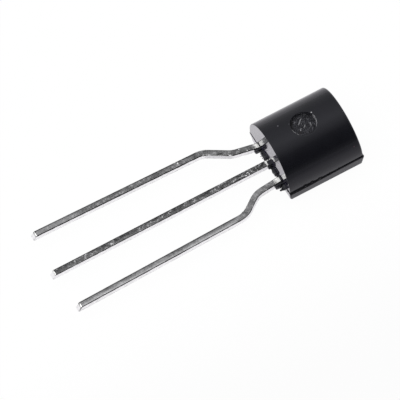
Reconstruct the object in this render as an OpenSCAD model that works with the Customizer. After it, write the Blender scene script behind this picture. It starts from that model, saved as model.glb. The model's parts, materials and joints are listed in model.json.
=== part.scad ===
// TO-92 transistor, lying on its flat face with its three formed leads towards -Y.
// The origin is the centre of the flat face. +X runs across the leads, +Y towards
// the closed end of the case and +Z up out of the rounded back.

/* [Case] */
// Width of the rounded half
case_w = 4.7; // [4.4:0.1:5.2]
// Length along the leads, at the parting plane
case_l = 4.8; // [4.4:0.1:5.3]
// Height of the mould's parting plane above the flat face
part_z = 0.95; // [0.85:0.01:1.05]
// Height of the straight sides above the parting plane
band_h = 0.18; // [0.05:0.01:0.4]
// How far the flat half stands out past the rounded half on each side
ledge_side = 0.08; // [0.02:0.01:0.12]
// How far the flat half stands out past the rounded half at each end
ledge_end = 0.04; // [0.01:0.01:0.08]
// Draft of the flat half's long sides, in degrees
flat_side_draft = 10; // [3:1:14]
// Draft of the flat half's ends, in degrees
flat_end_draft = 6; // [2:1:10]
// Draft of the rounded half's closed end, in degrees
round_end_draft = 2.5; // [1:0.5:5]
// Draft of the rounded half's lead end, in degrees
lead_end_draft = 0.2; // [0:0.1:3]

/* [Ejector mark] */
// Diameter of the recess that the ejector pin leaves in the rounded back
mark_d = 1.5; // [1.2:0.1:1.8]
// Depth of the recess below the highest line of the back
mark_depth = 0.3; // [0.16:0.01:0.36]
// Distance of the recess from the middle of the case, towards the leads
mark_shift = 0.1; // [0:0.05:0.4]
// Number of tally ticks raised on the floor of the recess, in a row along the leads
tick_count = 3; // [1:1:4]
// Width of each mark of the tally
tick_w = 0.08; // [0.05:0.01:0.1]
// Height of each mark of the tally above the floor of the recess
tick_h = 0.05; // [0.03:0.01:0.08]
// Length of each tick
tick_l = 0.26; // [0.2:0.02:0.5]
// Distance from tick to tick
tick_pitch = 0.32; // [0.2:0.01:0.36]
// Angle of the tally's marks to the leads, in degrees
tick_angle = 42; // [0:1:60]
// Distance of the row of ticks from the middle of the recess, towards +X
tick_shift = 0.17; // [0:0.01:0.25]
// Length of the single stroke beside the ticks
stroke_l = 0.5; // [0.3:0.02:0.7]
// Distance of the single stroke from the middle of the recess, towards -X
stroke_shift = 0.27; // [0.2:0.01:0.35]

/* [Mould flash] */
// How far the flash at each lead reaches out of the case
flash_l = 0.45; // [0.2:0.05:0.7]
// Width of the flash beside each lead
flash_w = 0.22; // [0.1:0.01:0.35]
// How far the flash rises above the parting plane
flash_rise = 0.1; // [0.02:0.01:0.13]
// How far the flash hangs below each lead
flash_drop = 0.14; // [0.05:0.01:0.2]
// Thickness of the web of flash between the leads
web_t = 0.06; // [0.03:0.01:0.1]
// How far the web reaches out of the case
web_l = 0.14; // [0.05:0.01:0.25]

/* [Leads] */
// Width of each lead
lead_w = 0.4; // [0.36:0.01:0.48]
// Thickness of the leadframe strip
lead_t = 0.4; // [0.34:0.01:0.46]
// Distance from lead to lead where they leave the case
lead_pitch = 1.27; // [1.2:0.01:1.35]
// Height of the leads' underside above the flat face
lead_z = 0.69; // [0.6:0.01:0.75]
// Length of the emitter lead outside the case
emitter_l = 13.77; // [12.5:0.01:15]
// Length of the collector lead outside the case
collector_l = 14; // [12.5:0.01:15]
// Length of the base lead outside the case
base_l = 13.73; // [12.5:0.01:15]
// How much longer each lead is on its underside than on top, at its sheared end
shear_l = 0.22; // [0.1:0.01:0.3]

/* [Lead forming] */
// Sideways step of the emitter lead
emitter_step = 1.24; // [1.1:0.01:1.4]
// Sideways step of the base lead
base_step = 1.04; // [0.95:0.01:1.3]
// Length of the emitter lead's straight stretch before its step
emitter_run = 1.1; // [0.8:0.01:2]
// Length of the base lead's straight stretch before its step
base_run = 1.19; // [0.8:0.01:2]
// Angle at which the emitter lead leaves the case, in degrees
emitter_flare = 12; // [8:1:14]
// Angle at which the base lead leaves the case, in degrees
base_flare = 5; // [2:1:8]
// Angle of the sloping stretch of the emitter lead's step, in degrees
emitter_slope = 32; // [28:1:38]
// Angle of the sloping stretch of the base lead's step, in degrees
base_slope = 37; // [32:1:40]
// Angle at which the outer leads still spread after the step, in degrees
spread_angle = 1.3; // [0:0.1:3]
// Centre-line radius of the bends in the outer leads
bend_r = 1.3; // [0.7:0.05:1.4]

/* [Leadframe inside the case] */
// Width of the collector paddle
paddle_w = 1.9; // [1.6:0.05:2.2]
// Length of the collector paddle
paddle_l = 1.8; // [1.5:0.05:2]
// Distance from the lead end of the case to the paddle
paddle_inset = 2.1; // [2:0.05:2.3]
// Diameter of the anchor hole in the paddle
anchor_d = 0.5; // [0.3:0.05:0.6]
// Distance from the paddle's far edge to the centre of the anchor hole
anchor_inset = 0.42; // [0.36:0.01:0.5]
// Width of the wire post on each outer lead
post_w = 0.8; // [0.65:0.05:0.95]
// Length of each wire post
post_l = 1.0; // [0.7:0.05:1.2]
// Distance from the lead end of the case to the wire posts
post_inset = 0.7; // [0.5:0.05:0.75]
// Size of the corners cut off each wire post and off the paddle
corner_cut = 0.18; // [0.1:0.01:0.25]
// How far each wire post is shifted outwards from its lead
post_shift = 0.12; // [0:0.01:0.15]

/* [Die and bond wires] */
// Side of the square die
die_w = 0.55; // [0.4:0.05:0.7]
// Thickness of the die
die_t = 0.22; // [0.15:0.01:0.28]
// Distance from the paddle's near edge to the centre of the die
die_inset = 0.6; // [0.5:0.05:0.7]
// Thickness of the solder film under the die
solder_t = 0.03; // [0.02:0.005:0.05]
// How far the solder film shows around the die
solder_rim = 0.06; // [0.03:0.01:0.1]
// Diameter of the bond wires
wire_d = 0.04; // [0.03:0.005:0.05]
// Distance of each wire's bond from the middle of the die
bond_shift = 0.13; // [0.08:0.01:0.18]
// Diameter of the ball bond on the die
ball_d = 0.1; // [0.08:0.01:0.12]
// Height of the ball bond
ball_h = 0.04; // [0.03:0.005:0.05]
// Height to which each wire rises straight from the die
neck_h = 0.14; // [0.1:0.01:0.2]
// Radius of the loop at the top of each wire
loop_r = 0.12; // [0.08:0.01:0.16]
// How far each wire swells where its loop starts and ends
collar_rim = 0.003; // [0.002:0.001:0.005]
// Length of each swelling
collar_l = 0.02; // [0.01:0.002:0.024]
// Diameter of the stitch bond on the wire post
stitch_d = 0.14; // [0.1:0.01:0.18]
// Thickness of the stitch bond
stitch_t = 0.025; // [0.015:0.005:0.035]

/* [Hidden] */
$fn = 96;
wire_fn = 24;

round_r = case_w / 2;
crown_z = part_z + band_h + round_r;
lead_end_y = -case_l / 2;
lead_top = lead_z + lead_t;
past = 1; // how far cutting shapes reach past what they cut
bend_steps = 6; // stations round each bend
collar_angle = 2; // degrees by which a wire's loop stops short, inside each of its collars

paddle_y = lead_end_y + paddle_inset;
post_y = lead_end_y + post_inset;
post_x = lead_pitch + post_shift;
die_y = paddle_y + die_inset;
die_top = lead_top + solder_t + die_t;
stitch_y = post_y + post_l / 2;

// Extrudes a profile drawn in X and Z along Y, to both sides of the middle
module along_y(length) {
    rotate([90, 0, 0]) linear_extrude(length, center = true) children();
}

// Extrudes a profile drawn in Y and Z along X, to both sides of the middle
module along_x(length) {
    rotate([90, 0, 90]) linear_extrude(length, center = true) children();
}

// A side view whose half length is given at the foot and at the top
module taper(half_foot, half_top, z0, z1) {
    polygon([[-half_foot, z0], [half_foot, z0], [half_top, z1], [-half_top, z1]]);
}

// The half with the flat face, drafted on its sides and ends
module flat_half() {
    half_w = case_w / 2 + ledge_side;
    half_l = case_l / 2 + ledge_end;
    intersection() {
        along_y(case_l + 2 * past)
            taper(half_w - part_z * tan(flat_side_draft), half_w, 0, part_z);
        along_x(case_w + 2 * past)
            taper(half_l - part_z * tan(flat_end_draft), half_l, 0, part_z);
    }
}

// The half with the rounded back: a semicircle on a short straight band
module round_half() {
    half_l = case_l / 2;
    height = crown_z - part_z;
    top = height + past;
    intersection() {
        along_y(case_l + 2 * past) {
            intersection() {
                translate([0, part_z + band_h]) circle(r = round_r);
                translate([-case_w, part_z]) square([2 * case_w, top]);
            }
            translate([-round_r, part_z]) square([case_w, band_h]);
        }
        along_x(case_w + 2 * past) translate([0, part_z])
            polygon([[-half_l, 0], [half_l, 0], [half_l - top * tan(round_end_draft), top],
                     [top * tan(lead_end_draft) - half_l, top]]);
    }
}

// The recess left by the ejector pin, with a plain tally on its floor: a row of short
// slanted ticks and a longer stroke beside it
module ejector_mark() {
    floor_z = crown_z - mark_depth;
    translate([0, -mark_shift, floor_z]) difference() {
        cylinder(d = mark_d, h = mark_depth + past);
        for (i = [0 : tick_count - 1])
            translate([tick_shift, (i - (tick_count - 1) / 2) * tick_pitch, 0]) tally_mark(tick_l);
        translate([-stroke_shift, 0, 0]) tally_mark(stroke_l);
    }
}

// One mark of the tally, centred on the floor of the recess and reaching down into the case
module tally_mark(length) {
    rotate([0, 0, tick_angle]) translate([-tick_w / 2, -length / 2, -past])
        cube([tick_w, length, past + tick_h]);
}

// Resin that has crept out of the mould along one lead, on its +X side and under it
module root_flash(x) {
    foot_z = lead_z - flash_drop;
    crest_z = part_z + flash_rise;
    inner_y = case_l / 4;
    translate([x + flash_w / 2, lead_end_y, 0]) along_x(lead_w + flash_w)
        polygon([[inner_y, foot_z], [inner_y, crest_z], [-flash_l / 2, crest_z], [-flash_l, lead_z],
                 [-flash_l / 2, foot_z]]);
}

// Thin film of resin between the outer leads, at the parting plane
module flash_web() {
    translate([-lead_pitch, lead_end_y - web_l, part_z - web_t])
        cube([2 * lead_pitch, web_l + case_l / 2, web_t]);
}

// The moulded case, cast around everything that it holds
module case() {
    color([0.09, 0.09, 0.1]) difference() {
        union() {
            flat_half();
            round_half();
            for (i = [-1 : 1]) root_flash(i * lead_pitch);
            flash_web();
        }
        ejector_mark();
        emitter_lead();
        collector_lead();
        base_lead();
        die();
        die_solder();
        emitter_wire();
        base_wire();
    }
}

// Stations [x, y, heading] round a bend that starts at point p. A heading of 0 runs
// towards -Y, and a positive one leans towards +X.
function bend(p, from, to) =
    let (side = sign(to - from))
    [for (i = [0 : bend_steps])
        let (h = from + (to - from) * i / bend_steps)
        [p.x + side * bend_r * (cos(from) - cos(h)), p.y - side * bend_r * (sin(h) - sin(from)), h]];

// The station a given length ahead of point p
function ahead(p, length, heading) =
    [p.x + length * sin(heading), p.y - length * cos(heading), heading];

function last(stations) = stations[len(stations) - 1];

// Stations of an outer lead from its wire post: flared, stepped outwards, nearly straight again
function formed_path(run, flare, slope, step, length) =
    let (
        flared = bend([lead_pitch, lead_end_y], 0, flare),
        out = bend(ahead(last(flared), run, flare), flare, slope),
        back_x = bend_r * (cos(spread_angle) - cos(slope)),
        slope_l = (lead_pitch + step - back_x - last(out).x) / sin(slope),
        back = bend(ahead(last(out), slope_l, slope), slope, spread_angle),
        rest = (last(back).y - lead_end_y + length) / cos(spread_angle)
    )
    concat([[lead_pitch, stitch_y, 0]], flared, out, back, [ahead(last(back), rest, spread_angle)]);

// A point beside a station, on the +X side (side 1) or the -X side (side -1)
function beside(station, side) =
    [station.x + side * lead_w / 2 * cos(station.z), station.y + side * lead_w / 2 * sin(station.z)];

// Strip that follows the stations, with a slanting sheared end beyond the last of them
module lead_strip(stations) {
    tip = last(stations);
    spare = ahead(tip, 2 * shear_l, tip.z);
    path = concat(stations, [spare]);
    outline = concat([for (s = path) beside(s, 1)],
                     [for (i = [len(path) - 1 : -1 : 0]) beside(path[i], -1)]);
    difference() {
        translate([0, 0, lead_z]) linear_extrude(lead_t) polygon(outline);
        translate([tip.x, tip.y, 0]) rotate([0, 0, tip.z]) along_x(2 * past)
            polygon([[shear_l, lead_top + lead_t], [-2 * shear_l, lead_z - lead_t],
                     [-past, lead_z - lead_t], [-past, lead_top + lead_t]]);
    }
}

// A plate of the leadframe with its four corners cut off, from y = 0 towards +Y
module frame_plate(width, length) {
    c = corner_cut;
    h = width / 2;
    translate([0, 0, lead_z]) linear_extrude(lead_t)
        polygon([[c - h, 0], [h - c, 0], [h, c], [h, length - c], [h - c, length],
                 [c - h, length], [-h, length - c], [-h, c]]);
}

// An outer lead on the +X side, from its wire post to its sheared end
module outer_lead(path) {
    lead_strip(path);
    translate([post_x, post_y, 0]) frame_plate(post_w, post_l);
}

module emitter_lead() {
    color([0.78, 0.78, 0.77]) mirror([1, 0, 0])
        outer_lead(formed_path(emitter_run, emitter_flare, emitter_slope, emitter_step, emitter_l));
}

module base_lead() {
    color([0.78, 0.78, 0.77])
        outer_lead(formed_path(base_run, base_flare, base_slope, base_step, base_l));
}

// The middle lead, with the paddle that carries the die
module collector_lead() {
    color([0.78, 0.78, 0.77]) difference() {
        union() {
            lead_strip([[0, die_y, 0], [0, lead_end_y - collector_l, 0]]);
            translate([0, paddle_y, 0]) frame_plate(paddle_w, paddle_l);
        }
        translate([0, paddle_y + paddle_l - anchor_inset, lead_z - past])
            cylinder(d = anchor_d, h = lead_t + 2 * past);
    }
}

module die_solder() {
    side = die_w + 2 * solder_rim;
    color([0.6, 0.6, 0.62]) translate([-side / 2, die_y - side / 2, lead_top])
        cube([side, side, solder_t]);
}

module die() {
    color([0.3, 0.31, 0.36]) translate([-die_w / 2, die_y - die_w / 2, lead_top + solder_t])
        cube([die_w, die_w, die_t]);
}

// The swelling at one end of a wire's loop, which encloses the ends of the stretches there
module wire_collar() {
    cylinder(d = wire_d + 2 * collar_rim, h = collar_l, center = true, $fn = wire_fn);
}

// A bond wire on the +X side: ball bond, neck, loop, sloping span and stitch bond
module bond_wire() {
    dx = post_x - bond_shift;
    dy = stitch_y - die_y;
    span = norm([dx, dy]);
    loop_z = die_top + neck_h;
    end_z = lead_top + wire_d / 2;
    reach = norm([span - loop_r, loop_z - end_z]);
    rise = asin(loop_r / reach);
    fall = atan2(loop_z - end_z, span - loop_r) + rise;
    translate([bond_shift, die_y, 0]) rotate([0, 0, atan2(dy, dx)]) {
        translate([0, 0, die_top]) {
            cylinder(d = ball_d, h = ball_h);
            cylinder(d = wire_d, h = neck_h, $fn = wire_fn);
        }
        translate([loop_r, 0, loop_z]) rotate([90, 0, 0]) rotate([0, 0, 90 - fall + collar_angle])
            rotate_extrude(angle = 90 + fall - 2 * collar_angle)
                translate([loop_r, 0]) circle(d = wire_d, $fn = wire_fn);
        translate([0, 0, loop_z]) wire_collar();
        translate([loop_r + loop_r * sin(fall), 0, loop_z + loop_r * cos(fall)])
            rotate([0, fall - 90, 0]) wire_collar();
        translate([span, 0, end_z]) rotate([0, fall - 90, 0])
            cylinder(d = wire_d, h = reach * cos(rise), $fn = wire_fn);
        translate([span, 0, lead_top]) cylinder(d = stitch_d, h = stitch_t);
    }
}

module emitter_wire() {
    color([0.86, 0.68, 0.32]) mirror([1, 0, 0]) bond_wire();
}

module base_wire() {
    color([0.86, 0.68, 0.32]) bond_wire();
}

case();
emitter_lead();
collector_lead();
base_lead();
die();
die_solder();
emitter_wire();
base_wire();
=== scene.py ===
"""A TO-92 transistor lying on its flat face: a moulded epoxy case and three formed, tinned leads."""

import json
import math
import random
from collections import namedtuple

import bmesh
import bpy
from mathutils import Matrix, Vector, noise

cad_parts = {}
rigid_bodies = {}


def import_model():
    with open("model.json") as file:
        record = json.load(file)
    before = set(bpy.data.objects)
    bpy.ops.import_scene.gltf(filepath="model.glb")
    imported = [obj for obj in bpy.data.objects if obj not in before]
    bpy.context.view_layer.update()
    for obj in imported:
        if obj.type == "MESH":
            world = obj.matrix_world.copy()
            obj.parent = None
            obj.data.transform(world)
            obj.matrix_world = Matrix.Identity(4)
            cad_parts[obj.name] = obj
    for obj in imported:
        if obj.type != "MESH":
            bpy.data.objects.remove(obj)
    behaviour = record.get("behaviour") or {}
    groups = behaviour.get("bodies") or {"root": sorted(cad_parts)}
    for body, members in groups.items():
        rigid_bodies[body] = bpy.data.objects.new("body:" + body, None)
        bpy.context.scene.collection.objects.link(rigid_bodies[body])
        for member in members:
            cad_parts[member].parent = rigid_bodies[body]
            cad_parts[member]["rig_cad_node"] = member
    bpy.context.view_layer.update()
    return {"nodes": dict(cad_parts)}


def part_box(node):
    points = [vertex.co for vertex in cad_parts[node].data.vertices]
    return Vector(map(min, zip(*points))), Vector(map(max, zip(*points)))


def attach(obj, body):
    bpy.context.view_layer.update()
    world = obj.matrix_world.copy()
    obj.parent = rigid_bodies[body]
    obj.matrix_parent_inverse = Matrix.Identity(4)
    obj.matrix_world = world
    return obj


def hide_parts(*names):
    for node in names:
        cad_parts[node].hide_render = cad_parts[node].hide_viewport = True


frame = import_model()

# Everything below is in millimetres until it becomes a mesh, a camera or a lamp
MM = 0.001
LEADS = ("emitter_lead", "collector_lead", "base_lead")
INSIDE = ("die", "die_solder", "emitter_wire", "base_wire")

# Sizes of the case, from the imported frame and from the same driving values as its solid
CASE_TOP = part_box("case")[1] / MM
CROWN_Z = CASE_TOP.z
FLAT_HALF_W = CASE_TOP.x
FLAT_HALF_L = CASE_TOP.y
LEDGE_SIDE = 0.08
LEDGE_END = 0.04
PART_Z = 0.95
ROUND_R = FLAT_HALF_W - LEDGE_SIDE
HALF_L = FLAT_HALF_L - LEDGE_END
ARC_Z = CROWN_Z - ROUND_R
FLAT_SIDE_DRAFT = math.radians(10)
FLAT_END_DRAFT = math.radians(6)
LEAD_END, CLOSED_END = -1, 1
END_DRAFT = {LEAD_END: math.radians(0.2), CLOSED_END: math.radians(2.5)}
END_FILLET = {LEAD_END: 0.03, CLOSED_END: 0.12}
FLAT_FILLET = 0.08
PART_CHAMFER_END = 0.035
PART_CHAMFER_SIDE = {LEAD_END: (0.08, 0.105), CLOSED_END: (0.03, 0.035)}
CORNER_R = 0.1
FILLET_STEPS = 5
SINK = 0.04  # how far the rounded half reaches into the flat half, where the two are joined
POLISHED_LEAN = -0.99  # faces of the lead end point this far to -Y or further
POLISHED_AREA = 0.02  # and are larger than this, in square millimetres

# The recess of the ejector pin
MARK_R = 0.75
MARK_DEPTH = 0.3
MARK_Y = -0.1
MARK_PATCH = 1.05
PATCH_STEPS = 32
MARK_FLOOR = CROWN_Z - MARK_DEPTH
MARK_SKIRT = 0.03  # the ring of smooth back round the recess
# The rounded top of its wall as (out from the wall, below the back), the rounded foot as (out from
# the wall, above the floor), and the rings of the rippled floor as shares of its radius
MARK_LIP = ((0.012, 0.004), (0.002, 0.014))
MARK_FOOT = ((-0.005, 0.028), (-0.014, 0.010), (-0.03, 0.002), (-0.06, 0.0))
FLOOR_RINGS = (0.8, 0.65, 0.5, 0.35, 0.2, 0.08)
FLOOR_RIPPLE = 0.02

# The tally on its floor: a row of short ticks beside one stroke. Each is turned, in degrees, and
# moved off its even place, as hand-cut marks are
TICKS = 3
TICK_W = 0.08
TICK_L = 0.26
TICK_H = 0.05
TICK_PITCH = 0.32
TICK_SHIFT = 0.17
TICK_TURN = (54, 47, 83)
TICK_OFF = ((0.03, 0.04), (-0.06, 0.02), (-0.03, 0.07))
STROKE_TURN = 42
STROKE_OFF = (-0.02, -0.07)
STROKE_L = 0.5
STROKE_SHIFT = 0.27

# The leads
LEAD_W = 0.4
LEAD_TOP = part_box("collector_lead")[1].z / MM
LEAD_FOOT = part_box("collector_lead")[0].z / MM
LEAD_PITCH = 1.27
LEAD_END_Y = -HALF_L
LEAD_EDGE = 0.06  # chamfer along the lead's edges
LEAD_EDGE_LEFT = 0.02  # and along its upper -X edge
LEAD_SLICE = 0.07
LIP_Z = LEAD_FOOT + LEAD_EDGE
LIP_H = 0.03
LIP_OUT = 0.019
EDGE_ROLL = 0.022  # how far the press pulled the -X edge down
DENT, PIT = 0.008, 0.006  # depth of the press's broad dents and of small pits on all sides
TOP_DENT, TOP_PIT = 0.02, 0.008  # and what the top has besides
LEFT_PIT = 0.003
LEAD_SEED = 11.0  # from lead to lead, so that no two are dented alike
STRAIGHT_Y = -8.0  # a place on the straight stretch
STRAIGHT_FROM = (-5.7, -6.1)  # where the bends have ended
TIP_FROM = (-12.6, -14.0)  # where the tin starts to be brighter towards the sheared end

# Flash beside each lead: its number of pitches from the middle, and how far the block of resin
# stands out of the case, reaches past the lead's +X side and starts above the lead's foot
FLASH_BLOCKS = ((-1, 0.42, 0.14, 0.02), (0, 0.27, 0.13, 0.02), (1, 0.54, 0.19, -0.08))
# Webs between the leads: start and end along X, how far out, and the top above the leads' top
FLASH_WEBS = ((-0.96, -0.30, 0.19, -0.03), (0.36, 0.96, 0.18, 0.02))
# Smears over the roots: start and end along X, how far out, height above the lead, and seed
FLASH_SMEARS = ((-0.12, 0.30, 0.21, 0.09, 21), (1.04, 1.52, 0.09, 0.13, 22))
# Crumbs on the ledge: place along Y, and size
CRUMBS = ((-1.42, 0.072), (-0.99, 0.068), (-0.49, 0.05), (0.8, 0.02), (1.5, 0.02))

# The camera, fitted to the photograph; its shift is a share of the picture's width
CAMERA_TARGET = Vector((0, -6.9, 1.0))
CAMERA_AZIMUTH = math.radians(66.949)
CAMERA_ELEVATION = math.radians(61.362)
CAMERA_ROLL = math.radians(-6.849)
CAMERA_DISTANCE = 336.42
CAMERA_SIDEWAYS = -0.0686
CAMERA_DOWN = -0.108
CAMERA_SHIFT = (0.0007, -0.0008)
CAMERA_LENS = 533.04
SENSOR = 36
CLIP = (0.01, 10)  # in metres

# The studio
FLOOR_HALF = 400
FAR_SIDE = (3.0, 14.0)  # where, along X, the floor is painted dimmer as shade
SKY_STRENGTH = 1.3


# Meshes

class Shell:
    """A mesh in the making: its points in millimetres and its faces."""

    def __init__(self):
        self.points = []
        self.faces = []

    def add(self, point):
        self.points.append(Vector(point))
        return len(self.points) - 1

    def ring(self, points):
        return [self.add(p) for p in points]

    def bridge(self, a, b, closed=True):
        count = len(a) if closed else len(a) - 1
        for i in range(count):
            j = (i + 1) % len(a)
            self.faces.append((a[i], a[j], b[j], b[i]))

    def object(self, name):
        mesh = bpy.data.meshes.new(name)
        mesh.from_pydata([p * MM for p in self.points], [], self.faces)
        bm = bmesh.new()
        bm.from_mesh(mesh)
        bmesh.ops.recalc_face_normals(bm, faces=bm.faces)
        bm.to_mesh(mesh)
        bm.free()
        made = bpy.data.objects.new(name, mesh)
        bpy.context.scene.collection.objects.link(made)
        return made


def spread(start, end, steps):
    """Values from start up to, but without, end."""
    return [start + (end - start) * i / steps for i in range(steps)]


def fillet(radius):
    """(inset, distance short of the end) at the stations round a fillet."""
    angles = [math.pi / 2 * k / FILLET_STEPS for k in range(FILLET_STEPS + 1)]
    return [(radius * (1 - math.cos(a)), radius * (1 - math.sin(a))) for a in angles]


def back_outline(u, inset=0.0):
    """(x, z) of the rounded half's outline at arc length u from the crown, towards +X."""
    quarter = ROUND_R * math.pi / 2
    radius = ROUND_R - inset
    if abs(u) <= quarter:
        return radius * math.sin(u / ROUND_R), ARC_Z + radius * math.cos(u / ROUND_R)
    return math.copysign(radius, u), ARC_Z - (abs(u) - quarter)


def back_end(side, z):
    """Distance of the rounded half's drafted end from the middle of the case at height z."""
    return HALF_L - (z - PART_Z) * math.tan(END_DRAFT[side])


def back_height(x):
    return ARC_Z + math.sqrt(ROUND_R ** 2 - x ** 2)


def rounded_half():
    """The half with the rounded back, closed below, with the recess of the ejector pin."""
    shell = Shell()
    quarter = ROUND_R * math.pi / 2
    foot = quarter + ARC_Z - PART_Z + SINK
    side_steps, end_steps = 26, 8
    across = ([-foot] + spread(-quarter, -MARK_PATCH, side_steps)
              + spread(-MARK_PATCH, MARK_PATCH, PATCH_STEPS)
              + spread(MARK_PATCH, quarter, side_steps) + [quarter, foot])
    reach = {side: HALF_L - END_FILLET[side] for side in (LEAD_END, CLOSED_END)}
    patch_lo, patch_hi = MARK_Y - MARK_PATCH, MARK_Y + MARK_PATCH
    along = (spread(-reach[LEAD_END], patch_lo, end_steps) + spread(patch_lo, patch_hi, PATCH_STEPS)
             + spread(patch_hi, reach[CLOSED_END], end_steps) + [reach[CLOSED_END]])

    def main_row(v):
        side = CLOSED_END if v > 0 else LEAD_END
        row = []
        for u in across:
            x, z = back_outline(u)
            row.append((x, v * (back_end(side, z) - END_FILLET[side]) / reach[side], z))
        return row

    def end_row(side, inset, short):
        row = []
        for u in across:
            x, z = back_outline(u, inset)
            row.append((x, side * (back_end(side, z) - short), z))
        return row

    def end_rows(side):
        return [shell.ring(end_row(side, *s)) for s in fillet(END_FILLET[side])[1:]]

    rows = end_rows(LEAD_END)[::-1]
    first_main = len(rows)
    rows += [shell.ring(main_row(v)) for v in along]
    rows += end_rows(CLOSED_END)

    # The columns and rows of the square patch that is left open for the recess
    left = 1 + side_steps
    right = left + PATCH_STEPS
    first = first_main + end_steps
    last = first + PATCH_STEPS
    for j in range(len(rows) - 1):
        for i in range(len(across) - 1):
            if not (left <= i < right and first <= j < last):
                shell.faces.append((rows[j][i], rows[j][i + 1], rows[j + 1][i + 1], rows[j + 1][i]))
    shell.faces.append(tuple(rows[0]))
    shell.faces.append(tuple(rows[-1]))
    shell.faces.append(tuple([r[0] for r in rows] + [r[-1] for r in reversed(rows)]))

    rim = ([rows[first][i] for i in range(left, right)]
           + [rows[j][right] for j in range(first, last)]
           + [rows[last][i] for i in range(right, left, -1)]
           + [rows[j][left] for j in range(last, first, -1)])
    mark_recess(shell, rim)
    return shell


def mark_recess(shell, rim):
    """Fills the square patch in the back with rings that turn into the round recess."""
    turns = [math.pi * (2 * k / len(rim) - 0.75) for k in range(len(rim))]
    rings = [rim]

    def circle(radius):
        return [(radius * math.cos(a), MARK_Y + radius * math.sin(a)) for a in turns]

    def go_on(points):
        rings.append(shell.ring(points))
        shell.bridge(rings[-2], rings[-1])

    skirt = circle(MARK_R + MARK_SKIRT)
    for share in (0.25, 0.5, 0.75, 1.0):
        between = [shell.points[k].lerp(Vector((x, y, 0)), share) for k, (x, y) in zip(rim, skirt)]
        go_on([(p.x, p.y, back_height(p.x)) for p in between])
    for out, down in MARK_LIP:
        go_on([(x, y, back_height(x) - down) for x, y in circle(MARK_R + out)])
    for out, up in MARK_FOOT:
        go_on([(x, y, MARK_FLOOR + up) for x, y in circle(MARK_R + out)])
    for share in FLOOR_RINGS:
        go_on([(x, y, MARK_FLOOR + FLOOR_RIPPLE * noise.noise(Vector((5 * x, 5 * y, 0.5))))
               for x, y in circle(MARK_R * share)])
    shell.faces.append(tuple(rings[-1]))


def rounded_rectangle(half_w, half_l, radius, steps=6):
    """(x, y) round a rectangle with rounded corners, anticlockwise from its +X side."""
    points = []
    for corner in range(4):
        sx = 1 if corner in (0, 3) else -1
        sy = 1 if corner in (0, 1) else -1
        for k in range(steps + 1):
            a = math.pi / 2 * (corner + k / steps)
            points.append((sx * (half_w - radius) + radius * math.cos(a),
                           sy * (half_l - radius) + radius * math.sin(a)))
    return points


def flat_half():
    """The drafted half with the flat face, closed above and below."""
    shell = Shell()

    def outline(drop, inset_w, inset_l):
        half_w = FLAT_HALF_W - drop * math.tan(FLAT_SIDE_DRAFT) - inset_w
        half_l = FLAT_HALF_L - drop * math.tan(FLAT_END_DRAFT) - inset_l
        return rounded_rectangle(half_w, half_l, CORNER_R)

    rings = []
    for inset, short in fillet(FLAT_FILLET):
        rings.append(shell.ring([(x, y, inset) for x, y in outline(PART_Z - inset, short, short)]))
    # The chamfer below the parting plane grows towards the lead end
    below, above = [], []
    for x, y in outline(0, 0, 0):
        wide, high = [a + (b - a) * (0.5 - y / (2 * FLAT_HALF_L)) for a, b in
                      zip(PART_CHAMFER_SIDE[CLOSED_END], PART_CHAMFER_SIDE[LEAD_END])]
        leaning = 1 - high * math.tan(FLAT_SIDE_DRAFT) / FLAT_HALF_W
        below.append((x * leaning, y * leaning, PART_Z - high))
        above.append((x * (1 - wide / FLAT_HALF_W), y * (1 - PART_CHAMFER_END / FLAT_HALF_L), PART_Z))
    rings += [shell.ring(below), shell.ring(above)]
    for a, b in zip(rings, rings[1:]):
        shell.bridge(a, b)
    shell.faces.append(tuple(rings[0]))
    shell.faces.append(tuple(rings[-1]))
    return shell


def lump(low, high, seed, rough=0.25, square=0.6):
    """A closed, irregular lump of resin that fills the box from low to high."""
    bm = bmesh.new()
    bmesh.ops.create_icosphere(bm, subdivisions=3, radius=1)
    low, high = Vector(low), Vector(high)
    middle, half = (low + high) / 2, (high - low) / 2
    points = []
    for v in bm.verts:
        p = Vector([math.copysign(abs(c) ** square, c) for c in v.co])
        p = p * (1 - rough * (0.5 + 0.5 * noise.noise(1.7 * v.co + Vector((seed, 0, 0)))))
        p = p * (1 - 0.4 * rough * (0.5 + 0.5 * noise.noise(5 * v.co + Vector((0, seed, 0)))))
        points.append(middle + Vector([max(-1, min(1, c)) * h for c, h in zip(p, half)]))
    shell = Shell()
    shell.points = points
    shell.faces = [tuple(v.index for v in f.verts) for f in bm.faces]
    bm.free()
    return shell


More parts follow.
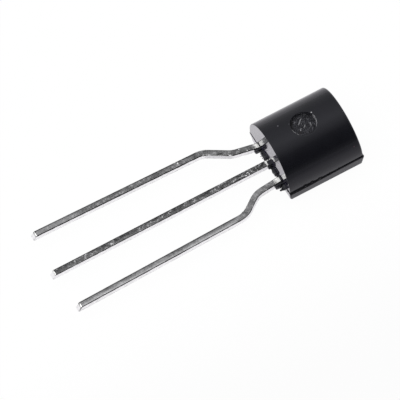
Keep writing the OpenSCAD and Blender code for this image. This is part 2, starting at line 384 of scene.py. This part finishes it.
def flash_lumps():
    """Resin that crept out at the leads and along the parting line."""
    draw = random.Random(7)
    lumps = []

    def scatter(count, size, low, high):
        for _ in range(count):
            half = draw.uniform(*size)
            middle = Vector([draw.uniform(a + half, b - half) for a, b in zip(low, high)])
            reach = Vector((half, half, 0.8 * half))
            lumps.append(lump(middle - reach, middle + reach, seed=draw.random(), rough=0.4))

    def along_end(start, end, out, size, low, high):
        steps = max(1, round((end - start) / size))
        for k in range(steps):
            x = start + (end - start) * (k + 0.5) / steps
            lumps.append(lump((x - 0.8 * size, LEAD_END_Y - out * draw.uniform(0.6, 1.3), low),
                              (x + 0.8 * size, LEAD_END_Y + 0.1, high + draw.uniform(-0.04, 0.02)),
                              seed=draw.random(), rough=0.35))

    # A block of resin fills the corner between each lead's +X side and the case
    for n, out, wide, low in FLASH_BLOCKS:
        x = n * LEAD_PITCH
        right = x + LEAD_W / 2
        lumps.append(lump((x - 0.15, LEAD_END_Y - out, LEAD_FOOT + low),
                          (right + wide, LEAD_END_Y + 0.15, LEAD_TOP - 0.01), seed=3 + n, rough=0.14,
                          square=0.3))
        scatter(5, (0.04, 0.08), (right - 0.04, LEAD_END_Y - out - 0.02, LEAD_FOOT + low),
                (right + wide + 0.04, LEAD_END_Y, LEAD_TOP - 0.04))
    # Webs between the leads, and a thin seam from the base lead to the corner
    for start, end, out, top in FLASH_WEBS:
        lumps.append(lump((start, LEAD_END_Y - out, LEAD_FOOT), (end, LEAD_END_Y + 0.1, LEAD_TOP + top),
                          seed=end, rough=0.25, square=0.4))
        along_end(start, end, out, 0.14, LEAD_FOOT - 0.02, LEAD_TOP - 0.02)
    scatter(8, (0.03, 0.06), (-0.95, LEAD_END_Y - 0.24, LEAD_FOOT), (-0.3, LEAD_END_Y, LEAD_TOP + 0.05))
    along_end(1.6, FLAT_HALF_W - 0.15, 0.07, 0.12, PART_Z - 0.14, PART_Z)
    # Resin smeared over the roots of the middle and base leads, and the wide mass beside the latter
    for start, end, out, high, seed in FLASH_SMEARS:
        lumps.append(lump((start, LEAD_END_Y - out, LEAD_TOP - 0.03),
                          (end, LEAD_END_Y + 0.08, LEAD_TOP + high), seed=seed, rough=0.25))
    lumps.append(lump((1.40, LEAD_END_Y - 0.22, 0.58), (1.95, LEAD_END_Y + 0.1, PART_Z + 0.04),
                      seed=23, rough=0.35))
    scatter(9, (0.035, 0.08), (1.45, LEAD_END_Y - 0.44, 0.56), (1.95, LEAD_END_Y - 0.05, PART_Z))
    # Crumbs on the ledge
    edge = FLAT_HALF_W - 0.01
    for y, size in CRUMBS:
        lumps.append(lump((edge - 2 * size, y - 1.2 * size, PART_Z - 0.5 * size),
                          (edge, y + 1.2 * size, PART_Z + 1.3 * size), seed=y, rough=0.35))
    scatter(14, (0.014, 0.03), (edge - 0.07, -0.9 * HALF_L, PART_Z - 0.03),
            (edge, 0.85 * HALF_L, PART_Z + 0.04))
    return lumps


def tally():
    """Short raised ticks and one longer stroke on the floor of the recess."""
    strokes = [(TICK_SHIFT, (n - (TICKS - 1) / 2) * TICK_PITCH, TICK_L, TICK_TURN[n], TICK_OFF[n])
               for n in range(TICKS)]
    strokes.append((-STROKE_SHIFT, 0, STROKE_L, STROKE_TURN, STROKE_OFF))
    bars = []
    for number, (x, y, length, lean, off) in enumerate(strokes):
        turn = Matrix.Rotation(math.radians(lean), 4, "Z")
        bar = lump((-TICK_W / 2, -length / 2, -TICK_H), (TICK_W / 2, length / 2, TICK_H),
                   seed=number, rough=0.12, square=0.35)
        middle = Vector((x + off[0], MARK_Y + y + off[1], MARK_FLOOR))
        bar.points = [turn @ p + middle for p in bar.points]
        bars.append(bar)
    return bars


def joined(name, shells):
    whole = Shell()
    for shell in shells:
        start = len(whole.points)
        whole.points += shell.points
        whole.faces += [tuple(start + i for i in face) for face in shell.faces]
    return whole.object(name)


def combine(target, other, operation, self_crossing=False):
    """Applies an exact boolean to target, and removes other if it was made for this alone."""
    step = target.modifiers.new(operation, "BOOLEAN")
    step.operation = operation
    step.solver = "EXACT"
    step.object = other
    step.use_self = self_crossing
    apply_modifiers(target)
    if "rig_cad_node" not in other:
        bpy.data.objects.remove(other)


def apply_modifiers(target):
    graph = bpy.context.evaluated_depsgraph_get()
    mesh = bpy.data.meshes.new_from_object(target.evaluated_get(graph))
    target.modifiers.clear()
    target.data = mesh


def smooth(target, angle=32):
    """Smooth shading that keeps flat faces flat and edges sharper than the angle crisp."""
    target.data.polygons.foreach_set("use_smooth", [True] * len(target.data.polygons))
    target.data.set_sharp_from_angle(angle=math.radians(angle))
    even = target.modifiers.new("even", "WEIGHTED_NORMAL")
    even.keep_sharp = True
    even.weight = 80


def case_piece(look, polished):
    """The case. Its lead end above the parting plane copies a polished face of the mould."""
    case = rounded_half().object("moulded_case")
    combine(case, flat_half().object("flat_half"), "UNION")
    combine(case, joined("flash", flash_lumps() + tally()), "UNION", self_crossing=True)
    for name in LEADS + INSIDE:
        combine(case, frame["nodes"][name], "DIFFERENCE")
    smooth(case)
    paint(case, look, polished)
    for face in case.data.polygons:
        lead_end = face.normal.y < POLISHED_LEAN and face.area > POLISHED_AREA * MM ** 2
        face.material_index = 1 if lead_end else 0
    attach(case, "root")
    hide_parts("case")
    return case


def sliced_lead(node):
    """The lead's solid with chamfered corners, cut finely enough that its faces can be dented."""
    bm = bmesh.new()
    bm.from_mesh(frame["nodes"][node].data)
    bmesh.ops.remove_doubles(bm, verts=bm.verts, dist=1e-4 * MM)
    bmesh.ops.dissolve_limit(bm, angle_limit=math.radians(0.5), verts=bm.verts, edges=bm.edges)
    corners = [e for e in bm.edges if e.calc_face_angle(0) > math.radians(30)]
    bmesh.ops.bevel(bm, geom=corners, offset=LEAD_EDGE * MM, offset_type="OFFSET", segments=1,
                    profile=0.5, affect="EDGES", clamp_overlap=True)
    low = min(v.co.y for v in bm.verts)
    steps = int((LEAD_END_Y - low / MM) / LEAD_SLICE)
    cuts = [((0, low + k * LEAD_SLICE * MM, 0), (0, 1, 0)) for k in range(1, steps)]
    cuts.append(((0, 0, (LIP_Z + LIP_H) * MM), (0, 0, 1)))
    for place, across in cuts:
        bmesh.ops.bisect_plane(bm, geom=bm.verts[:] + bm.edges[:] + bm.faces[:],
                               plane_co=place, plane_no=across, dist=1e-5 * MM)
    limit = (LEAD_END_Y - LEAD_SLICE) * MM
    ribs = [e for e in bm.edges if max(v.co.y for v in e.verts) < limit
            and abs(e.verts[0].co.y - e.verts[1].co.y) < 1e-4 * MM and e.calc_length() > 0.2 * MM]
    bmesh.ops.subdivide_edges(bm, edges=ribs, cuts=3, use_grid_fill=True)
    bmesh.ops.triangulate(bm, faces=[f for f in bm.faces if len(f.verts) > 4])
    bm.normal_update()
    return bm


def wear_lead(bm, seed):
    """Dents the top, rolls the -X edge down and leaves a ragged lip low on +X, as the press does."""
    for v in bm.verts:
        p = v.co / MM
        outside = LEAD_END_Y - 0.1 - p.y
        if outside > 0:
            dent = noise.noise(Vector((4 * p.x + seed, 3.2 * p.y, 4 * p.z)))
            pit = noise.noise(Vector((11 * p.x, 9 * p.y + seed, 11 * p.z)))
            inward = DENT * (0.6 + dent) + PIT * (0.6 + pit)
            if v.normal.z > 0.5:
                inward += TOP_DENT * max(0, dent) + TOP_PIT * (1 + pit)
            ease = min(1, outside / 0.3) * MM
            if v.normal.x < -0.3:
                inward = LEFT_PIT * (1 + pit)
                if v.normal.z > 0.7:
                    v.co.x -= (LEAD_EDGE - LEAD_EDGE_LEFT) * ease
                    v.co.z -= EDGE_ROLL * (1 + 0.6 * dent) * ease
                elif v.normal.z > 0.2:
                    v.co.z += (LEAD_EDGE - LEAD_EDGE_LEFT - EDGE_ROLL) * ease
            if v.normal.x > 0.5 and p.z > LIP_Z + 0.5 * LIP_H:
                inward += LIP_OUT * (0.9 + 0.5 * dent)
            v.co -= v.normal * max(0, inward) * ease


def lead_piece(node, seed, look):
    """A lead as the press leaves it."""
    bm = sliced_lead(node)
    wear_lead(bm, seed)
    mesh = bpy.data.meshes.new(node + "_formed")
    bm.to_mesh(mesh)
    bm.free()
    lead = bpy.data.objects.new(node + "_formed", mesh)
    bpy.context.scene.collection.objects.link(lead)
    smooth(lead, 28)
    paint(lead, look)
    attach(lead, "root")
    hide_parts(node)
    return lead


# Materials

class Nodes:
    """Short calls that add nodes to one tree and link them."""

    def __init__(self, tree):
        self.tree = tree
        tree.nodes.clear()

    def add(self, kind, inputs=None, **settings):
        made = self.tree.nodes.new(kind)
        for key, value in settings.items():
            setattr(made, key, value)
        for key, value in (inputs or {}).items():
            if isinstance(value, bpy.types.NodeSocket):
                self.tree.links.new(value, made.inputs[key])
            else:
                made.inputs[key].default_value = value
        return made

    def math(self, operation, a, b=0.0, clamp=False):
        return self.add("ShaderNodeMath", {0: a, 1: b}, operation=operation, use_clamp=clamp).outputs[0]

    def times(self, first, *others):
        for other in others:
            first = self.math("MULTIPLY", first, other)
        return first

    def plus(self, a, b, clamp=False):
        return self.math("ADD", a, b, clamp)

    def minus(self, a, b, clamp=False):
        return self.math("SUBTRACT", a, b, clamp)

    def noise(self, place, scale, detail=4.0, rough=0.55):
        sockets = {"Vector": place, "Scale": scale, "Detail": detail, "Roughness": rough}
        return self.add("ShaderNodeTexNoise", sockets).outputs["Fac"]

    def ramp(self, value, stops):
        made = self.add("ShaderNodeValToRGB", {"Fac": value})
        points = made.color_ramp.elements
        while len(points) < len(stops):
            points.new(0.5)
        for point, (place, colour) in zip(points, stops):
            point.position = place
            point.color = (*colour, 1) if isinstance(colour, tuple) else (*grey(colour), 1)
        return made.outputs["Color"]

    def mix(self, share, a, b):
        made = self.add("ShaderNodeMix", {0: share}, data_type="RGBA")
        for socket, value in ((made.inputs[6], a), (made.inputs[7], b)):
            if isinstance(value, bpy.types.NodeSocket):
                self.tree.links.new(value, socket)
            else:
                socket.default_value = (*value, 1)
        return made.outputs[2]

    def between(self, value, low, high):
        """0 below low, 1 above high and a soft step between them. High may be the lower one."""
        sockets = {"Value": value, "From Min": low, "From Max": high}
        return self.add("ShaderNodeMapRange", sockets, interpolation_type="SMOOTHSTEP").outputs[0]

    def split(self, vector):
        return self.add("ShaderNodeSeparateXYZ", {0: vector}).outputs

    def facing(self):
        """(x, y, z) of the direction that the face itself points in."""
        return self.split(self.add("ShaderNodeNewGeometry").outputs["True Normal"])

    def millimetres(self, stretch=(1, 1, 1)):
        """The place on the object in millimetres, stretched along each axis."""
        place = self.add("ShaderNodeTexCoord").outputs["Object"]
        scale = [s / MM for s in stretch]
        return self.add("ShaderNodeMapping", {"Vector": place, "Scale": scale}).outputs[0]

    def bump(self, height, distance, strength=1.0, normal=None):
        sockets = {"Height": height, "Distance": distance * MM, "Strength": strength}
        if normal:
            sockets["Normal"] = normal
        return self.add("ShaderNodeBump", sockets).outputs[0]

    def spot(self, place, centre, radius):
        """1 at the centre, a point in millimetres, and 0 beyond the radius."""
        gap = self.add("ShaderNodeVectorMath", {0: place, 1: centre}, operation="DISTANCE")
        return self.between(gap.outputs["Value"], radius, radius * 0.4)

    def specks(self, colour, place, specks):
        for centre, radius, tone in specks:
            colour = self.mix(self.spot(place, centre, radius), colour, tone)
        return colour

    def near_angle(self, turn, low, high):
        """1 between two angles round the recess, in degrees from +X, with soft ends."""
        soft = 6
        rising = self.between(turn, math.radians(low - soft), math.radians(low + soft))
        falling = self.between(turn, math.radians(high + soft), math.radians(high - soft))
        return self.times(rising, falling)


def grey(value):
    return value, value, value


def material(name):
    made = bpy.data.materials.new(name)
    made.use_nodes = True
    return made, Nodes(made.node_tree)


def finish_surface(nodes, sockets):
    shader = nodes.add("ShaderNodeBsdfPrincipled", sockets)
    nodes.add("ShaderNodeOutputMaterial", {"Surface": shader.outputs[0]})


# Painted shade round the crumbs on the ledge, then pale and reddish specks on the back and painted
# highlights on the crumbs: centre, radius and, for a speck or highlight, its colour
LEDGE_SHADE_SPOTS = (((2.35, -1.42, 1.02), 0.20), ((2.35, -0.99, 1.02), 0.18), ((2.37, -0.49, 1.0), 0.14))
CASE_SPECKS_AND_HIGHLIGHTS = (((-0.60, -1.42, 3.40), 0.06, (0.10, 0.10, 0.11)),
               ((-0.84, -2.25, 3.28), 0.05, (0.06, 0.06, 0.07)),
               ((-0.36, -0.83, 3.44), 0.04, (0.06, 0.06, 0.07)),
               ((2.14, 1.95, 2.10), 0.06, (0.06, 0.03, 0.045)),
               # The last three are painted highlights on the crumbs of the ledge
               ((2.41, -1.42, 0.97), 0.05, (0.10, 0.10, 0.11)),
               ((2.41, -0.99, 0.97), 0.05, (0.12, 0.12, 0.13)),
               ((2.42, -0.49, 0.96), 0.05, (0.22, 0.22, 0.23)))
# Specks at the rim of the recess and on its floor, the last one dark
RECESS_SPECKS = (((-0.37, 0.64, 3.43), 0.06, (0.45, 0.45, 0.46)),
                 ((0.50, 0.42, 3.40), 0.05, (0.20, 0.20, 0.21)),
                 ((-0.42, -0.44, 3.19), 0.06, (0.12, 0.12, 0.13)),
                 ((-0.14, -0.15, 3.19), 0.04, (0.12, 0.12, 0.13)),
                 ((-0.58, 0.26, 3.19), 0.05, (0.09, 0.09, 0.10)),
                 ((0.32, -0.50, 3.19), 0.12, (0.008, 0.006, 0.007)))
# Where round the recess, in degrees from +X, its floor is painted with shade and its rim with highlights
SHADED_ARC = (-140, -88)
HIGHLIGHT_ARCS = ((46, 105), (-84, -46))


def ledge_shade_mask(n, place):
    """1 in the painted shade along the ledge, which is thicker towards the lead end, and round its
    crumbs.
    """
    x, y, z = n.split(place)
    thick = n.times(n.between(y, 1.6, -1.8), 0.16)
    thick = n.plus(thick, n.times(n.minus(n.noise(place, 3.0), 0.5), 0.12))
    above = n.between(n.plus(z, thick), PART_Z - 0.02, PART_Z + 0.02)
    below = n.between(n.minus(z, n.times(thick, 0.6)), PART_Z + 0.03, PART_Z)
    ledge_shade = n.times(above, below)
    for centre, radius in LEDGE_SHADE_SPOTS:
        ledge_shade = n.math("MAXIMUM", ledge_shade, n.spot(place, centre, radius))
    return n.times(ledge_shade, n.between(x, 2.0, 2.2))


def recess_look(n, place, colour):
    """The colour with the recess in it: a flecked floor with painted shade on part of it, and a tally
    and a rim painted with highlights, the rim in two places. Gives the mask of the recess and its flecks
    too."""
    x, y, z = n.split(place)
    off_y = n.minus(y, MARK_Y)
    radius = n.math("SQRT", n.plus(n.times(x, x), n.times(off_y, off_y)))
    turn = n.math("ARCTAN2", off_y, x)
    fleck = n.noise(place, 13.0, 3.0, 0.7)
    inside = n.times(n.between(radius, MARK_R + 0.02, MARK_R),
                     n.between(z, CROWN_Z - 0.16, CROWN_Z - 0.20))
    floor_tone = n.ramp(fleck, [(0.42, (0.001, 0.001, 0.002)), (0.54, (0.014, 0.014, 0.018)),
                                (0.66, (0.08, 0.08, 0.09))])
    shaded = n.times(n.near_angle(turn, *SHADED_ARC), n.between(radius, 0.57, 0.67))
    colour = n.mix(inside, colour, n.mix(shaded, floor_tone, grey(0)))
    # Painted highlight on the tops of the tally
    tally_highlight = n.times(inside, n.between(z, MARK_FLOOR + 0.02, MARK_FLOOR + 0.035),
                     n.between(radius, MARK_R - 0.03, MARK_R - 0.06), n.between(fleck, 0.32, 0.50))
    colour = n.mix(tally_highlight, colour, (0.19, 0.19, 0.20))
    # Painted highlight on the rim, in two arcs
    rim = n.times(n.between(radius, MARK_R - 0.05, MARK_R - 0.02),
                  n.between(radius, MARK_R + 0.045, MARK_R + 0.015))
    arcs = n.plus(*[n.near_angle(turn, *arc) for arc in HIGHLIGHT_ARCS], clamp=True)
    rim_highlight = n.times(rim, arcs, n.between(fleck, 0.34, 0.52), n.between(z, CROWN_Z - 0.3, CROWN_Z - 0.2))
    colour = n.mix(rim_highlight, colour, (0.22, 0.22, 0.23))
    return n.specks(colour, place, RECESS_SPECKS), inside, fleck


def moulded_epoxy():
    """Satin black epoxy, finely grained, duller in the recess and on the drafted sides below."""
    made, n = material("moulded_epoxy")
    place = n.millimetres()
    colour = n.ramp(n.noise(place, 1.3, 3.0, 0.5),
                    [(0.3, (0.0044, 0.0046, 0.0068)), (0.7, (0.0060, 0.0062, 0.0088))])
    # Painted shade: the ledge along the parting line and round its crumbs is painted near-black
    ledge_shade = ledge_shade_mask(n, place)
    colour = n.mix(ledge_shade, colour, (0.001, 0.001, 0.002))
    colour = n.specks(colour, place, CASE_SPECKS_AND_HIGHLIGHTS)
    colour, in_recess, fleck = recess_look(n, place, colour)

    rough = n.ramp(n.noise(place, 3.5, 4.0, 0.6), [(0.3, 0.09), (0.7, 0.15)])
    rough = n.mix(in_recess, rough, grey(0.55))
    rough = n.mix(n.between(n.facing()[2], -0.03, -0.08), rough, grey(0.34))
    rough = n.mix(ledge_shade, rough, grey(0.9))
    normal = n.bump(n.noise(place, 30.0, 3.0, 0.6), 0.0010)
    normal = n.bump(n.times(fleck, in_recess), 0.045, 1.0, normal)
    finish_surface(n, {"Base Color": colour, "Roughness": rough, "IOR": 1.35,
                       "Specular Tint": (0.92, 0.92, 1.0, 1), "Normal": normal})
    return made


def polished_epoxy():
    """The lead end, which mirrors the floor and the roots of the leads."""
    made, n = material("polished_epoxy")
    place = n.millimetres()
    colour = n.ramp(n.noise(place, 6.0), [(0.3, (0.010, 0.008, 0.020)), (0.7, (0.014, 0.011, 0.026))])
    rough = n.ramp(n.noise(place, 9.0, 3.0), [(0.3, 0.05), (0.7, 0.11)])
    normal = n.bump(n.noise(place, 22.0, 3.0, 0.6), 0.0006)
    finish_surface(n, {"Base Color": colour, "Roughness": rough, "IOR": 1.5, "Coat Weight": 0.7,
                       "Coat Roughness": 0.08, "Normal": normal})
    return made


# How a lead looks: the painted shade of its top and how strong its mottle is, partly painted
# reflection, the tones of its +X chamfer, painted dark as shade, and of the sheared end's +X corner,
# the length of fresh tin at the root, the x of its straight stretch at STRAIGHT_Y and the slope there,
# how much painted light brightens the top towards +X and near the sheared end, and its painted glints
# and dark spots as (x, y, radius)
LeadLook = namedtuple("LeadLook", "shade contrast corner cut root_l straight_x slope lean tip dabs smuts")
LEAD_LOOKS = {
    "emitter_lead": LeadLook(
        shade=0.155, contrast=0.85, corner=0.12, cut=0.70, root_l=0.28, straight_x=-2.54,
        slope=0.0227, lean=0.0, tip=0.22,
        dabs=((-2.60, -6.98, 0.07), (-2.71, -7.09, 0.05), (-1.23, -3.33, 0.04), (-1.29, -3.16, 0.05),
              (-1.60, -3.53, 0.05), (-2.60, -10.73, 0.04)),
        smuts=((-2.90, -16.10, 0.12),)),
    "collector_lead": LeadLook(
        shade=0.10, contrast=1.60, corner=0.25, cut=0.75, root_l=0.26, straight_x=0.0,
        slope=0.0, lean=0.14, tip=0.03,
        dabs=((-0.04, -10.14, 0.06), (-0.10, -8.81, 0.05), (-0.01, -9.41, 0.04), (0.11, -4.02, 0.06),
              (-0.03, -3.85, 0.05), (0.11, -3.80, 0.05)),
        smuts=()),
    "base_lead": LeadLook(
        shade=0.215, contrast=0.60, corner=0.30, cut=0.22, root_l=0.45, straight_x=2.39,
        slope=-0.0227, lean=0.7, tip=0.0,
        dabs=((1.51, -3.48, 0.05), (1.76, -3.49, 0.05), (2.80, -13.80, 0.07), (2.78, -14.39, 0.07)),
        smuts=()),
}
# Black for painted shade and for dark spots, and grey for painted light, on the tops of the leads
SHADE_AND_SPOT_BLACK = grey(0.02)
HIGHLIGHT_GREY = (0.6, 0.6, 0.61)


def lead_top(n, look, place, shaded_top, mottle, pitted):
    """The top of a lead: painted shade along -X, painted light towards +X and the sheared end, fresh at
    the root and a line of painted shade where it meets the case."""
    x, y, z = n.split(place)
    middle = n.plus(n.times(n.minus(y, STRAIGHT_Y), look.slope), look.straight_x)
    across = n.minus(x, middle)
    straight = n.between(y, *STRAIGHT_FROM)
    # Painted light on the top towards +X along the straight stretch, and towards the sheared end
    shaded_top = n.mix(n.times(straight, look.lean, n.between(across, -0.08, 0.17)), shaded_top, HIGHLIGHT_GREY)
    shaded_top = n.mix(n.times(n.between(y, *TIP_FROM), look.tip), shaded_top, HIGHLIGHT_GREY)
    # Painted shade along the top's -X edge
    shaded_top = n.mix(n.times(straight, 0.7, n.between(across, -0.11, -0.17)), shaded_top, SHADE_AND_SPOT_BLACK)
    root_y = LEAD_END_Y - look.root_l
    root = n.between(n.plus(y, n.times(mottle, 0.1)), root_y + 0.02, root_y + 0.07)
    fresh = n.ramp(mottle, [(0.40, (0.16, 0.16, 0.15)), (0.46, (0.56, 0.56, 0.55)),
                            (0.6, (0.74, 0.74, 0.73))])
    top = n.mix(root, shaded_top, fresh)
    # A line of painted shade where the lead meets the case
    top = n.mix(n.between(y, LEAD_END_Y - 0.045, LEAD_END_Y - 0.025), top, SHADE_AND_SPOT_BLACK)
    # Painted glints: white spots on the top where its dents catch the light
    for glint_x, glint_y, size in look.dabs:
        glint = n.times(n.spot(place, (glint_x, glint_y, LEAD_TOP), size), n.between(pitted, 0.36, 0.46))
        top = n.mix(glint, top, grey(1.0))
    # Dark spots on the top
    for spot_x, spot_y, size in look.smuts:
        top = n.mix(n.spot(place, (spot_x, spot_y, LEAD_TOP), size), top, SHADE_AND_SPOT_BLACK)
    return top


def tinned_lead(name, look):
    """Tin, bright on the cut sides and at the root, with its top and +X chamfer painted dark as shade,
    each lead to its own shade.
    """
    made, n = material(name)
    place = n.millimetres()
    z = n.split(place)[2]
    side_x, side_y, up = n.facing()
    streak = n.noise(n.millimetres((5.0, 0.9, 5.0)), 1.0, 5.0, 0.6)
    mottle = n.noise(place, 6.0, 5.0, 0.7)
    pitted = n.noise(place, 16.0, 3.0, 0.6)
    blend = n.plus(n.plus(n.times(streak, 0.3), n.times(mottle, 0.4)), n.times(pitted, 0.3))

    def tone(share):
        value = min(0.95, share ** look.contrast * look.shade)
        return value, value, value * 1.02

    # The top's painted shade, in the lead's own tone; its mottle is partly painted reflection
    shaded_top = n.ramp(blend, [(0.38, tone(0.15)), (0.46, tone(0.65)), (0.53, tone(1.1)), (0.62, tone(3.2))])
    bright = n.ramp(blend, [(0.36, (0.70, 0.70, 0.69)), (0.46, (0.88, 0.88, 0.87)),
                            (0.62, (0.96, 0.96, 0.95))])
    # The +X chamfer is painted dark as shade, to the lead's corner tone
    edge = n.ramp(blend, [(0.44, tone(look.corner)), (0.56, tone(3 * look.corner)), (0.64, tone(4.0))])
    ahead = n.between(n.times(side_y, -1.0), 0.3, 0.45)
    chamfer = n.times(n.between(up, 0.30, 0.42), n.between(z, LEAD_FOOT + 0.15, LEAD_FOOT + 0.25),
                      n.minus(1.0, ahead))
    colour = n.mix(chamfer, bright, edge)
    colour = n.mix(n.between(up, 0.86, 0.955), colour, lead_top(n, look, place, shaded_top, mottle, pitted))
    colour = n.mix(n.times(ahead, n.between(side_x, 0.3, 0.45)), colour, grey(look.cut))
    rough = n.ramp(mottle, [(0.3, 0.44), (0.7, 0.24)])
    finish_surface(n, {"Base Color": colour, "Metallic": 1.0, "Roughness": rough,
                       "Normal": n.bump(blend, 0.016, 0.8)})
    return made


def silicon():
    made, n = material("silicon")
    place = n.millimetres()
    colour = n.ramp(n.noise(place, 9.0), [(0.35, (0.13, 0.14, 0.18)), (0.65, (0.19, 0.20, 0.25))])
    finish_surface(n, {"Base Color": colour, "Metallic": 0.6, "Roughness": 0.18})
    return made


def solder():
    made, n = material("solder")
    place = n.millimetres()
    grain = n.noise(place, 14.0)
    colour = n.ramp(grain, [(0.35, (0.42, 0.42, 0.44)), (0.65, (0.58, 0.58, 0.60))])
    finish_surface(n, {"Base Color": colour, "Metallic": 1.0, "Roughness": 0.38,
                       "Normal": n.bump(grain, 0.004)})
    return made


def gold_wire():
    made, n = material("gold_wire")
    place = n.millimetres()
    colour = n.ramp(n.noise(place, 20.0), [(0.35, (0.80, 0.55, 0.19)), (0.65, (0.90, 0.68, 0.27))])
    finish_surface(n, {"Base Color": colour, "Metallic": 1.0, "Roughness": 0.22})
    return made


def seen_ray(nodes):
    """1 for camera rays, and 1 for the rays that show the surface in another one."""
    path = nodes.add("ShaderNodeLightPath").outputs
    mirrored = nodes.math("MAXIMUM", path["Is Glossy Ray"], path["Is Transmission Ray"])
    return path["Is Camera Ray"], mirrored


def white_floor():
    """A white sheet, lifted towards white where it is seen. It keeps the shadow; mirrored it is lifted
    less, its colour and glow are painted darker towards +X as shade, and its mirrored glow is tinted
    lavender as a painted reflection."""
    made, n = material("white_floor")
    fibre = n.noise(n.millimetres(), 0.4, 3.0)
    colour = n.ramp(fibre, [(0.3, 0.93), (0.7, 0.96)])
    # Painted shade: the paper and its mirrored glow darken towards +X
    far = n.between(n.split(n.millimetres())[0], *FAR_SIDE)
    paper = n.add("ShaderNodeBsdfDiffuse", {"Color": n.mix(far, colour, (0.35, 0.35, 0.36))})
    seen, mirrored = seen_ray(n)
    glow = n.add("ShaderNodeEmission", {"Color": n.mix(mirrored, grey(1), (0.965, 0.94, 1.0)),
                                        "Strength": 1.0})
    lift = n.times(mirrored, n.minus(0.62, n.times(far, 0.24)))
    share = n.math("MAXIMUM", n.times(seen, 0.96), lift)
    both = n.add("ShaderNodeMixShader", {0: share, 1: paper.outputs[0], 2: glow.outputs[0]})
    n.add("ShaderNodeOutputMaterial", {"Surface": both.outputs[0]})
    return made


# Stage, light and camera

def floor():
    """The sheet that the part lies on."""
    shell = Shell()
    places = spread(-FLOOR_HALF, FLOOR_HALF, 8) + [FLOOR_HALF]
    rows = [shell.ring([(x, y, 0) for x in places]) for y in places]
    for a, b in zip(rows, rows[1:]):
        shell.bridge(a, b, closed=False)
    sheet = shell.object("floor")
    sheet.data.materials.append(white_floor())


def studio():
    """Soft light from above and from -X, with a darker side towards +X."""
    world = bpy.data.worlds.new("studio")
    bpy.context.scene.world = world
    world.use_nodes = True
    n = Nodes(world.node_tree)
    x, y, up = n.split(n.add("ShaderNodeTexCoord").outputs["Generated"])
    flat = n.math("SQRT", n.minus(1.0, n.times(up, up), clamp=True))
    side = n.math("DIVIDE", x, n.math("MAXIMUM", flat, 0.001))
    dark = n.ramp(up, [(0.0, 0.30), (0.25, 0.10), (0.45, 0.09), (0.62, 0.12), (0.80, 0.22),
                       (0.90, 0.50), (0.98, 0.85), (1.0, 0.95)])
    light = n.ramp(up, [(0.0, 0.60), (0.3, 0.55), (0.6, 0.58), (0.88, 0.80), (0.97, 1.0)])
    sky = n.mix(n.between(side, -0.25, 0.65), light, dark)
    ends = n.times(n.between(n.math("ABSOLUTE", y), 0.35, 0.75), n.between(up, 0.35, 0.65))
    sky = n.mix(ends, sky, grey(1.1))
    # A soft lamp high over the lead end
    lamp = n.times(n.between(y, -0.02, -0.18), n.between(up, 0.70, 0.80))
    sky = n.mix(lamp, sky, grey(1.8))
    shown = n.add("ShaderNodeLightPath").outputs["Is Camera Ray"]
    strength = n.plus(SKY_STRENGTH, n.times(shown, 1.0 - SKY_STRENGTH))
    colour = n.mix(shown, sky, grey(1))
    lit = n.add("ShaderNodeBackground", {"Color": colour, "Strength": strength})
    n.add("ShaderNodeOutputWorld", {"Surface": lit.outputs[0]})


def camera():
    """The photograph's viewing angle, from above on the lead end's +X side."""
    a, e, r = CAMERA_AZIMUTH, CAMERA_ELEVATION, CAMERA_ROLL
    back = Vector((math.sin(a) * math.cos(e), -math.cos(a) * math.cos(e), math.sin(e)))
    level = Vector((math.cos(a), math.sin(a), 0))
    up = back.cross(level)
    right = level * math.cos(r) + up * math.sin(r)
    top = up * math.cos(r) - level * math.sin(r)
    aim = CAMERA_TARGET + CAMERA_SIDEWAYS * right + CAMERA_DOWN * top
    data = bpy.data.cameras.new("camera")
    data.sensor_width = SENSOR
    data.lens = CAMERA_LENS
    data.shift_x, data.shift_y = CAMERA_SHIFT
    data.clip_start, data.clip_end = CLIP
    made = bpy.data.objects.new("camera", data)
    bpy.context.scene.collection.objects.link(made)
    pose = Matrix((right, top, back)).transposed().to_4x4()
    pose.translation = (aim + back * CAMERA_DISTANCE) * MM
    made.matrix_world = pose
    bpy.context.scene.camera = made


def paint(target, *made):
    """Gives the target these materials and no others."""
    target.data.materials.clear()
    for look in made:
        target.data.materials.append(look)


camera()
floor()
studio()
case_piece(moulded_epoxy(), polished_epoxy())
for number, lead_node in enumerate(LEADS):
    # Each lead gets its own copy of the tin, painted to its own shade
    tin = tinned_lead("tin_" + lead_node, LEAD_LOOKS[lead_node])
    lead_piece(lead_node, LEAD_SEED * number, tin)
gold = gold_wire()
for hidden_node, hidden_look in zip(INSIDE, (silicon(), solder(), gold, gold)):
    paint(frame["nodes"][hidden_node], hidden_look)

bpy.context.scene.view_settings.view_transform = "Standard"
